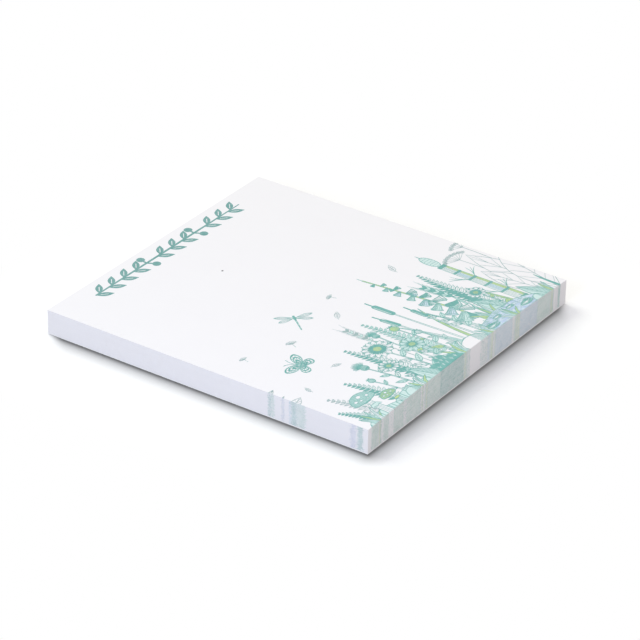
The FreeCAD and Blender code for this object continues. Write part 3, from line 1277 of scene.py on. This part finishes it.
def ink_material(name, ink, bare):
    """Matt ink with an uneven film that lets some of the paper through where it is thin."""
    nodes = Nodes(bpy.data.materials.new(name))
    place = nodes.add("TexCoord")["Object"]
    film = nodes.noise(place, 900.0, 3.0, 0.6)
    grain = nodes.noise(place, 6000.0, 2.0)
    thin = tuple((1.0 - bare) * c + bare * PAPER_TONE for c in ink) + (1.0,)
    thick = tuple((1.0 - bare / 2.0) * c for c in ink) + (1.0,)
    patches = nodes.math("MULTIPLY_ADD", grain, 0.5, nodes.math("MULTIPLY", film, 0.5))
    colour = nodes.mix(nodes.share(patches, 0.36, 0.64), thick, thin)
    return nodes.matt(colour, grain, roughness=0.7, specular=0.3, strength=0.1, depth=0.01 * MM)


def sheet_level(nodes, place):
    """The height in sheets from the card, under the same arch as the solids have."""
    x, y, z = nodes.add("SeparateXYZ", place)
    across = nodes.math("DIVIDE", x, NOTE_WIDTH * MM / 2)
    across = nodes.math("SUBTRACT", 1.0, nodes.math("MULTIPLY", across, across))
    loose = nodes.math("SUBTRACT", (NOTE_LENGTH / 2 - GLUE_BAND) * MM, y)
    loose = nodes.math("DIVIDE", loose, (NOTE_LENGTH - GLUE_BAND) * MM, clamp=True)
    arch = nodes.math("MULTIPLY", across, nodes.math("MULTIPLY", loose, loose))
    arch = nodes.math("MULTIPLY", arch, FREE_EDGE_RISE * MM / SHEET_COUNT)
    pitch = nodes.math("ADD", arch, SHEET_PITCH * MM)
    return nodes.math("DIVIDE", nodes.math("SUBTRACT", z, CARD_THICKNESS * MM), pitch)


def paper_material():
    """Smooth uncoated paper, with a slightly different tone for each sheet's cut edge."""
    nodes = Nodes(bpy.data.materials.new("note_paper"))
    place = nodes.add("TexCoord")["Object"]
    level = sheet_level(nodes, place)
    line = {"noise_dimensions": "1D"}
    sheet_tone = nodes.add("TexWhiteNoise", W=nodes.math("FLOOR", level), settings=line)["Value"]
    lift_tone = nodes.add("TexNoise", W=level, Scale=0.23, Detail=1.0, settings=line)[0]
    up = nodes.add("SeparateXYZ", nodes.add("NewGeometry")["Normal"])["Z"]
    is_cut = nodes.math("LESS_THAN", nodes.math("ABSOLUTE", up), 0.5)
    streaks = nodes.add("VectorMath", place, (1.0, 1.0, 0.05), settings={"operation": "MULTIPLY"})[0]
    streak_tone = nodes.noise(streaks, 4000.0, 3.0)
    fibre = nodes.noise(place, 2500.0, 5.0, 0.7)
    cloud = nodes.noise(place, 120.0, 4.0, 0.6)
    tone = nodes.math("MULTIPLY_ADD", lift_tone, 0.05, nodes.math("MULTIPLY", streak_tone, 0.04))
    tone = nodes.math("MULTIPLY", nodes.math("MULTIPLY_ADD", sheet_tone, 0.05, tone), is_cut)
    colour = nodes.mix(cloud, (0.900, 0.892, 0.905, 1.0), (0.920, 0.912, 0.925, 1.0))
    colour = nodes.mix(tone, colour, (0.70, 0.70, 0.73, 1.0))
    relief = nodes.math("MULTIPLY_ADD", fibre, 0.6, streak_tone)
    return nodes.matt(colour, relief, roughness=0.86, specular=0.25, strength=0.12, depth=0.02 * MM)


def card_material():
    """The backing card: plain white board with short fibres."""
    nodes = Nodes(bpy.data.materials.new("backing_card"))
    place = nodes.add("TexCoord")["Object"]
    fibre = nodes.noise(place, 1800.0, 6.0, 0.75)
    colour = nodes.mix(nodes.noise(place, 150.0, 4.0), (0.93, 0.93, 0.935, 1.0), (0.95, 0.95, 0.955, 1.0))
    colour = nodes.mix(nodes.math("MULTIPLY", fibre, 0.12), colour, (0.70, 0.69, 0.68, 1.0))
    return nodes.matt(colour, fibre, roughness=0.9, specular=0.25, strength=0.2, depth=0.03 * MM)


def floor_material():
    """A pale table with a painted shadow in its colour near the pad's foot, besides the real shadow of the
    lamps. The camera sees it as white outside the shadow, and it is open from below.
    """
    nodes = Nodes(bpy.data.materials.new("table"))
    x, y, _ = nodes.add("SeparateXYZ", nodes.add("TexCoord")["Object"])
    beside, before = (
        nodes.math("MAXIMUM", nodes.math("SUBTRACT", nodes.math("ABSOLUTE", value), size * MM / 2), 0.0)
        for value, size in ((x, NOTE_WIDTH), (y, NOTE_LENGTH))
    )
    apart = nodes.math("MULTIPLY_ADD", beside, beside, nodes.math("MULTIPLY", before, before))
    apart = nodes.math("SQRT", apart)
    # Painted shadow: the table's colour darkens by the distance from the pad and fades out at the far corners
    painted_shadow = nodes.ramp(nodes.math("DIVIDE", apart, PAINTED_SHADOW_REACH * MM), PAINTED_SHADOW_TONES)
    along = nodes.math("DIVIDE", x, NOTE_WIDTH * MM / 2)
    across = nodes.math("DIVIDE", y, NOTE_LENGTH * MM / 2)
    corner = nodes.math("ABSOLUTE", nodes.math("SUBTRACT", along, across))
    corner = nodes.share(corner, *PAINTED_SHADOW_CORNER_FADE, "SMOOTHSTEP")
    painted_shadow = nodes.mix(corner, painted_shadow, (OPEN_TONE, OPEN_TONE, OPEN_TONE, 1.0))
    painted_shadow = nodes.mix(1.0, painted_shadow, TABLE_TINT, "MULTIPLY")
    glow = nodes.add("Emission", WHITE, TABLE_GLOW)[0]
    white = nodes.add("Emission", WHITE, 1.0)[0]
    seen = nodes.add("AddShader", nodes.add("BsdfDiffuse", painted_shadow)[0], glow)[0]
    far = nodes.share(apart, OPEN_FROM * MM, OPEN_TO * MM, "SMOOTHSTEP")
    seen = nodes.add("MixShader", far, seen, white)[0]
    plain = nodes.add("BsdfDiffuse", TABLE_GREY)[0]
    solid = nodes.add("MixShader", nodes.add("LightPath")["Is Camera Ray"], plain, seen)[0]
    clear = nodes.add("BsdfTransparent")[0]
    return nodes.finish(nodes.add("MixShader", nodes.add("NewGeometry")["Backfacing"], solid, clear)[0])


def add_floor():
    """The table, open under the pad so that light reaches the card when it is seen from below."""
    inner = (NOTE_WIDTH / 2 - FLOOR_LEDGE, NOTE_LENGTH / 2 - FLOOR_LEDGE)
    corners = [
        Vector((half_width * sx, half_length * sy, -FLOOR_GAP)) * MM
        for half_width, half_length in (inner, (FLOOR_REACH, FLOOR_REACH))
        for sx, sy in ((-1, -1), (1, -1), (1, 1), (-1, 1))
    ]
    mesh = bpy.data.meshes.new("table")
    mesh.from_pydata(corners, [], [(k + 4, (k + 1) % 4 + 4, (k + 1) % 4, k) for k in range(4)])
    mesh.materials.append(floor_material())
    in_scene("table", mesh)


def add_camera():
    """The photograph's view."""
    data = bpy.data.cameras.new("camera")
    data.sensor_width = CAMERA_SENSOR
    data.lens = CAMERA_LENS
    data.clip_start, data.clip_end = CAMERA_CLIP
    camera = in_scene("camera", data)
    level = Vector(CAMERA_LOOK).normalized().to_track_quat("-Z", "Y").to_matrix()
    roll = Matrix.Rotation(math.radians(CAMERA_TILT), 3, "Z")
    camera.matrix_world = Matrix.Translation(Vector(CAMERA_PLACE) * MM) @ (level @ roll).to_4x4()
    bpy.context.scene.camera = camera


def add_softbox(name, direction, distance, width, height, power, colour):
    """A soft lamp that shines on the pad from a direction."""
    data = bpy.data.lights.new(name, "AREA")
    data.shape = "RECTANGLE"
    data.size = width
    data.size_y = height
    data.energy = power
    data.color = colour
    lamp = in_scene(name, data)
    direction = Vector(direction).normalized()
    lamp.location = direction * distance
    lamp.rotation_mode = "QUATERNION"
    lamp.rotation_quaternion = direction.to_track_quat("Z", "Y")


def add_world():
    """Soft light from all round. The camera sees white there, and so do mirrors and glass."""
    world = bpy.data.worlds.new("studio")
    nodes = Nodes(world)
    path = nodes.add("LightPath")
    seen = nodes.math("MAXIMUM", path["Is Camera Ray"], path["Is Glossy Ray"])
    seen = nodes.math("MAXIMUM", seen, path["Is Transmission Ray"])
    dim = nodes.add("Background", WORLD_TINT, WORLD_LIGHT)[0]
    white = nodes.add("Background", WHITE, 1.0)[0]
    nodes.add("OutputWorld", nodes.add("MixShader", seen, dim, white)[0])
    bpy.context.scene.world = world


def dress(node, material):
    """Gives a solid its material."""
    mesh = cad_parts[node].data
    mesh.materials.clear()
    mesh.materials.append(material)


def main():
    """Dresses the solids, prints the pad and lights it."""
    sketch = draw_note()
    dress("note_sheets", paper_material())
    dress("backing_sheet", card_material())
    add_print(sketch)
    add_cut_edges(sketch)
    add_camera()
    add_floor()
    add_world()
    for name, values in SOFTBOXES.items():
        add_softbox(name, *values)
    bpy.context.scene.view_settings.view_transform = "Standard"


main()
